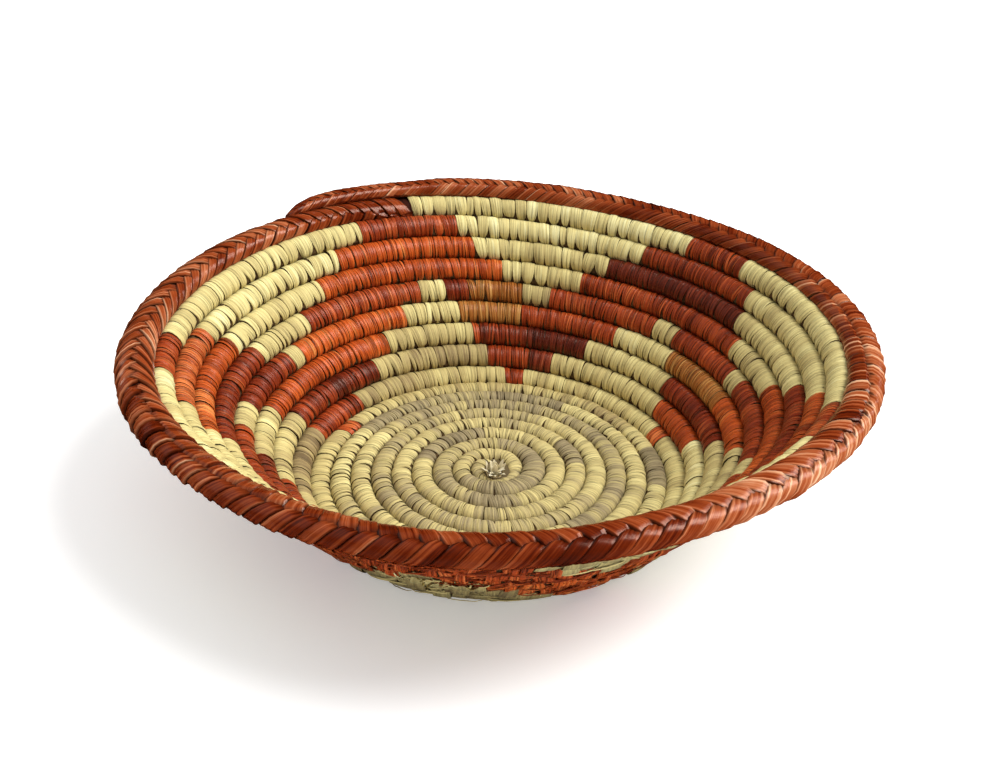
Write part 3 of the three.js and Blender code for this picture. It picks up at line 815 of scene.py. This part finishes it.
def braid_object(name, side):
    """One side of the braid. Each strip comes out from under a strip of the other side, past the spine."""
    way = -1 if side == "outer" else 1
    middles = np.interp(np.arange(braid_strips) + 0.5, strips_passed, braid_arcs)
    middles = middles + rng.normal(0, BRAID_STRAY, braid_strips)
    turns = turn_at(middles)
    pitches = course(turns, BRAID_PITCHES, 1) * MM
    relief, sheen = course(turns, BRAID_RELIEF, 1), course(turns, BRAID_RELIEF, 2)
    tones = course(turns, BRAID_TONES, 1 if side == "outer" else 2)
    tones = tones + rng.normal(0, BRAID_TONE_SPREAD, braid_strips)
    lifts = rng.normal(0, BRAID_UNEVENNESS, braid_strips)
    offsets = rng.uniform(0, PATTERN_SHIFT, braid_strips)
    glints = rng.gamma(GLINT_SHAPE, GLINT_STRENGTH, (braid_strips, len(BRAID_ACROSS)))
    outer_slant, inner_slant = course(turns, BRAID_COURSE, 2), course(turns, BRAID_COURSE, 3)
    zigzag = ZIGZAG * pitches * np.clip(-(outer_slant + inner_slant) / ZIGZAG_FULL_SLANT, -1, 1)
    slants = outer_slant if side == "outer" else inner_slant
    if side == "inner":
        middles = middles + (outer_slant + inner_slant) * zigzag
    spines = np.radians(course(turns, BRAID_COURSE, 1))
    lengths = BRAID_LENGTH[side] + ROUND_RIM[side] * np.clip(spines - SPINE_HIGH, 0, None)

    def place(strip, column, row):
        across = BRAID_ACROSS[column]
        share = (row if side == "inner" else BRAID_ROWS - row) / BRAID_ROWS
        start = zigzag[strip] * across
        away = start - BRAID_TUCK + (lengths[strip] + BRAID_TUCK - start) * share ** BRAID_LENGTH_POWER
        psi = np.interp(np.interp(spines[strip], ROUND, GIRTH) + way * away, GIRTH, ROUND)
        arc = middles[strip] + across * (pitches[strip] / 2 + BRAID_LAP) + slants[strip] * away
        sunk = 1 - smoothstep(away - start, BRAID_SINK_FROM, BRAID_SINK_TO)
        shade = BRAID_SHADE[side] * smoothstep(away, BRAID_SHADE_FROM, BRAID_SHADE_TO)
        ply = relief[strip] * (1 - BRAID_FADE[side] * smoothstep(away, BRAID_FADE_FROM, BRAID_FADE_TO))
        tilt = BRAID_TILT[side] * across * np.sin(math.pi * np.clip(share * BRAID_TILT_ROUND, 0, 1))
        lift = ply * (BRAID_LIFT[column] + lifts[strip] + tilt) - BRAID_SINK * sunk
        return SimpleNamespace(
            co=braid_section(turn_at(np.clip(arc, braid_first, braid_last)), psi, lift),
            uv=np.stack((across * pitches[strip] / 2 / MM + offsets[strip], away / MM), -1),
            # Painted highlights raise the tone along the ridges.
            tone=np.clip(tones[strip] + BRAID_SHEEN[column] * sheen[strip] * glints[strip, column], 0, 1),
            # Painted shade at the edges, over the sunk ends and far round from the top of the rim.
            edge=np.clip(BRAID_EDGE[column] + BRAID_SINK_SHADE * sunk + shade, 0, 1))

    return strip_object(name, braid_strips, len(BRAID_ACROSS) - 1, BRAID_ROWS, place)


for side in ("outer", "inner"):
    finish_piece(braid_object(f"rim_{side}_plaits", side), BRAID, "braid", "rim_braid")

# What the plaits lie on, seen as dark lines between them.
RIM_CORE_INSET = 1.0 * MM
RIM_CORE_STEPS = 240
RIM_CORE_ROWS = 14


def rim_core_point(turn, psi):
    return braid_section(turn, psi, np.full_like(psi, -RIM_CORE_INSET))


rim_core = tube_object(
    "rim_core", BRAID_START_TURN, OUTER_END_TURN, RIM_CORE_STEPS, RIM_CORE_ROWS, rim_core_point)
finish_piece(rim_core, BRAID_CORE, "braid", "rim_braid")

# Knot at the centre: a dark heart inside the curl.
KNOT_RADIUS = 9.5 * MM
KNOT_FLATNESS = 0.3
KNOT_SEGMENTS = 20
KNOT_RINGS = 8
knot_floor = float(np.interp(0, SPIRAL.turn, SPIRAL.height)) - FOOTING
knot_middle = Vector(AXIS) + Vector((0, 0, knot_floor + KNOT_RADIUS * KNOT_FLATNESS))
knot_mesh = bpy.data.meshes.new("knot_heart")
bm = bmesh.new()
bmesh.ops.create_uvsphere(bm, u_segments=KNOT_SEGMENTS, v_segments=KNOT_RINGS, radius=KNOT_RADIUS)
bmesh.ops.scale(bm, vec=(1, 1, KNOT_FLATNESS), verts=bm.verts)
bmesh.ops.translate(bm, vec=knot_middle, verts=bm.verts)
bm.to_mesh(knot_mesh)
bm.free()
knot_mesh.shade_smooth()
knot_heart = bpy.data.objects.new("knot_heart", knot_mesh)
bpy.context.scene.collection.objects.link(knot_heart)
finish_piece(knot_heart, KNOT, "straw", "start_knot")

# Tuft of strip ends on the near side of the knot. The near ones are shorter and lean out further.
TUFT_STRIPS = 22
TUFT_ACROSS = np.array([-1.0, -0.5, 0.0, 0.5, 1.0, -1.0])
TUFT_ROWS = 6
TUFT_ROOT = AXIS + np.array((0.6, -4.0, 0.0)) * MM
TUFT_ROOT_HEIGHT = 4.5 * MM
TUFT_FACING = (100, 430)
TUFT_FACING_SPREAD = 0.2
TUFT_RING = (0.2 * MM, 3.2 * MM)
TUFT_LENGTH = 6.0 * MM
TUFT_NEAR_SHORTER = 2.0 * MM
TUFT_LENGTH_SPREAD = 0.4 * MM
TUFT_WIDTHS = (2.2 * MM, 3.2 * MM)
TUFT_LEAN = 0.1
TUFT_NEAR_LEAN = 0.4
TUFT_LEAN_SPREAD = 0.1
TUFT_BEND = 1.3
TUFT_BOW = 0.35 * MM
TUFT_TAPER = 0.85
TUFT_TONE_SPREAD = 0.15
TUFT_EDGE_DIRT = 0.5
TUFT_UV_LENGTH = 4
END_UV_STEP = 7
tuft_facing = np.radians(np.linspace(*TUFT_FACING, TUFT_STRIPS))
tuft_facing = tuft_facing + rng.normal(0, TUFT_FACING_SPREAD, TUFT_STRIPS)
tuft_ring = rng.uniform(*TUFT_RING, TUFT_STRIPS)
tuft_near = 0.5 - 0.5 * np.sin(tuft_facing)
tuft_long = TUFT_LENGTH - TUFT_NEAR_SHORTER * tuft_near + rng.normal(0, TUFT_LENGTH_SPREAD, TUFT_STRIPS)
tuft_wide = rng.uniform(*TUFT_WIDTHS, TUFT_STRIPS)
tuft_lean = TUFT_LEAN + TUFT_NEAR_LEAN * tuft_near + rng.normal(0, TUFT_LEAN_SPREAD, TUFT_STRIPS)


def place_tuft(strip, column, row):
    along = row / TUFT_ROWS
    side = TUFT_ACROSS[column]
    across = side * tuft_wide[strip] / 2 * (1 - TUFT_TAPER * along ** 4)
    facing = tuft_facing[strip]
    out = np.stack((np.cos(facing), np.sin(facing), 0 * facing), -1)
    beside = np.stack((-np.sin(facing), np.cos(facing), 0 * facing), -1)
    bent = tuft_lean[strip] * along * TUFT_BEND
    reach = tuft_ring[strip] + tuft_long[strip] * along * np.sin(bent) + TUFT_BOW * (1 - side ** 2)
    co = TUFT_ROOT + out * reach[:, None] + beside * across[:, None]
    co[:, 2] += knot_floor + TUFT_ROOT_HEIGHT + tuft_long[strip] * along * np.cos(bent)
    return SimpleNamespace(
        co=co,
        uv=np.stack((across / MM + strip * END_UV_STEP, along * TUFT_UV_LENGTH), -1),
        tone=np.clip(1.0 + TUFT_TONE_SPREAD * np.sin(strip * 2.0), 0, 1),
        edge=TUFT_EDGE_DIRT * np.abs(side) ** 4)


tuft = strip_object("knot_tuft", TUFT_STRIPS, len(TUFT_ACROSS) - 1, TUFT_ROWS, place_tuft)
finish_piece(tuft, TUFT, "straw", "start_knot")

# Frayed straw ends that stand off the outside of a row, low at the front left.
FRAYED_FROM = 11.697
FRAYED_TO = 11.745
FRAYED_ENDS = 16
FRAYED_ROWS = 6
FRAYED_ROOT = 3.9
FRAYED_REACH = (0.7, 1.6)
FRAYED_SLANT = 3.0 * MM
FRAYED_STANDING = (0.6 * MM, 2.2 * MM)
FRAYED_TONES = (0.5, 1.0)
FRAYED_WIDTH = 1.2 * MM
FRAYED_TAPER = 0.7
FRAYED_LIFT = 0.5 * MM
FRAYED_BOW = 0.15 * MM
FRAYED_EDGE_DIRT = 0.3
FRAYED_UV_LENGTH = 6
fray_arcs = rng.uniform(arc_at(FRAYED_FROM), arc_at(FRAYED_TO), FRAYED_ENDS)
fray_reach = rng.uniform(*FRAYED_REACH, FRAYED_ENDS)
fray_slant = rng.normal(0, FRAYED_SLANT, FRAYED_ENDS)
fray_standing = rng.uniform(*FRAYED_STANDING, FRAYED_ENDS)
fray_tones = rng.uniform(*FRAYED_TONES, FRAYED_ENDS)


def place_fray(strip, column, row):
    along = row / FRAYED_ROWS
    side = STRAND_ACROSS[column]
    across = side * FRAYED_WIDTH / 2 * (1 - FRAYED_TAPER * along ** 3)
    arc = fray_arcs[strip] + across + fray_slant[strip] * along
    lift = FRAYED_LIFT + FRAYED_BOW * (1 - side ** 2) + fray_standing[strip] * along ** 2
    return SimpleNamespace(
        co=section(turn_at(arc), FRAYED_ROOT + fray_reach[strip] * along, lift),
        uv=np.stack((across / MM + strip * END_UV_STEP, along * FRAYED_UV_LENGTH), -1),
        tone=fray_tones[strip],
        edge=FRAYED_EDGE_DIRT * np.abs(side))


fray = strip_object("frayed_straw", FRAYED_ENDS, len(STRAND_ACROSS) - 1, FRAYED_ROWS, place_fray)
finish_piece(fray, STRAW, "straw", "straw_coil")

# Floor: matt paper with a faint grain, lit a little from within so that it stays pale. Real paper is finer
# than this grain, which is drawn as coarse as it needs to show.
FLOOR_REACH = 60
PAPER_GRAIN = 1.1111 * MM
PAPER_TONES = (0.9, 0.96)
PAPER_ROUGHNESS = 0.9
PAPER_GLOW = 0.3
WHITE = linear("#ffffff")
floor_mesh = bpy.data.meshes.new("studio_floor")
bm = bmesh.new()
bmesh.ops.create_grid(bm, x_segments=1, y_segments=1, size=FLOOR_REACH)
bm.to_mesh(floor_mesh)
bm.free()
floor = bpy.data.objects.new("studio_floor", floor_mesh)
bpy.context.scene.collection.objects.link(floor)
floor_material = bpy.data.materials.new("pale_paper")
floor_material.use_nodes = True
paper = floor_material.node_tree
grain_place = add(paper, "ShaderNodeTexCoord")
grain = add(paper, "ShaderNodeTexNoise", {"Vector": grain_place.outputs["Object"], "Scale": 1 / PAPER_GRAIN,
                                          "Detail": 2})
paper_shade = add(paper, "ShaderNodeMapRange", {"Value": grain.outputs[0], "To Min": PAPER_TONES[0],
                                                "To Max": PAPER_TONES[1]})
paper_shader = paper.nodes["Principled BSDF"]
paper.links.new(paper_shade.outputs[0], paper_shader.inputs["Base Color"])
paper_shader.inputs["Roughness"].default_value = PAPER_ROUGHNESS
paper_shader.inputs["Emission Color"].default_value = WHITE
paper_shader.inputs["Emission Strength"].default_value = PAPER_GLOW
floor_mesh.materials.append(floor_material)
floor.visible_glossy = False

# Light: white all round, a broad key from the right, a side light from the back right, a faint fill from the
# left, and a very soft light from above.
SURROUNDING_LIGHT = 0.3
world = bpy.data.worlds.new("studio")
world.use_nodes = True
world.node_tree.nodes["Background"].inputs["Color"].default_value = WHITE
world.node_tree.nodes["Background"].inputs["Strength"].default_value = SURROUNDING_LIGHT
world.cycles_visibility.glossy = False
bpy.context.scene.world = world


def add_light(name, strength, spread, direction, glossy):
    """A distant light that shines along a direction, soft by its spread in degrees, seen in gloss or not."""
    light = bpy.data.lights.new(name, "SUN")
    light.energy = strength
    light.angle = math.radians(spread)
    lamp = bpy.data.objects.new(name, light)
    lamp.rotation_euler = Vector(direction).to_track_quat("-Z", "Y").to_euler()
    lamp.visible_glossy = glossy
    bpy.context.scene.collection.objects.link(lamp)


add_light("key", strength=2.5, spread=30, direction=(-0.6, 0.05, -0.8), glossy=True)
add_light("side", strength=1.2, spread=24, direction=(-0.8, -0.32, -0.5), glossy=True)
add_light("fill", strength=0.3, spread=60, direction=(0.7, -0.3, -0.6), glossy=True)
add_light("overhead", strength=1.25, spread=130, direction=(0, 0, -1), glossy=False)

# The photograph's camera: its place and aim, a slight roll, and the focal length over the image's width.
CAMERA_DISTANCE = 642.4 * MM
CAMERA_HEIGHT_ANGLE = math.radians(33.96)
CAMERA_AIM_ANGLE = math.radians(30.97)
CAMERA_AIM_HEIGHT = 6.14 * MM
CAMERA_ROLL = math.radians(1.347)
FOCAL_WIDTHS = 1.58625
FRAME_SHIFT = 0.00421
SENSOR = 36

camera_data = bpy.data.cameras.new("camera")
camera_data.sensor_width = SENSOR
camera_data.lens = SENSOR * FOCAL_WIDTHS
camera_data.shift_x = FRAME_SHIFT
camera = bpy.data.objects.new("camera", camera_data)
forward = Vector((0, math.cos(CAMERA_AIM_ANGLE), -math.sin(CAMERA_AIM_ANGLE)))
upward = Vector((0, math.sin(CAMERA_AIM_ANGLE), math.cos(CAMERA_AIM_ANGLE)))
right = Vector((1, 0, 0))
rolled_right = right * math.cos(CAMERA_ROLL) + upward * math.sin(CAMERA_ROLL)
rolled_up = upward * math.cos(CAMERA_ROLL) - right * math.sin(CAMERA_ROLL)
turned = Matrix((rolled_right, rolled_up, -forward)).transposed()
camera_back = CAMERA_DISTANCE * math.cos(CAMERA_HEIGHT_ANGLE)
camera_height = CAMERA_DISTANCE * math.sin(CAMERA_HEIGHT_ANGLE) + CAMERA_AIM_HEIGHT
camera_place = Vector(AXIS) + Vector((0, -camera_back, camera_height))
camera.matrix_world = Matrix.Translation(camera_place) @ turned.to_4x4()
bpy.context.scene.collection.objects.link(camera)
bpy.context.scene.camera = camera
bpy.context.scene.view_settings.view_transform = "Standard"
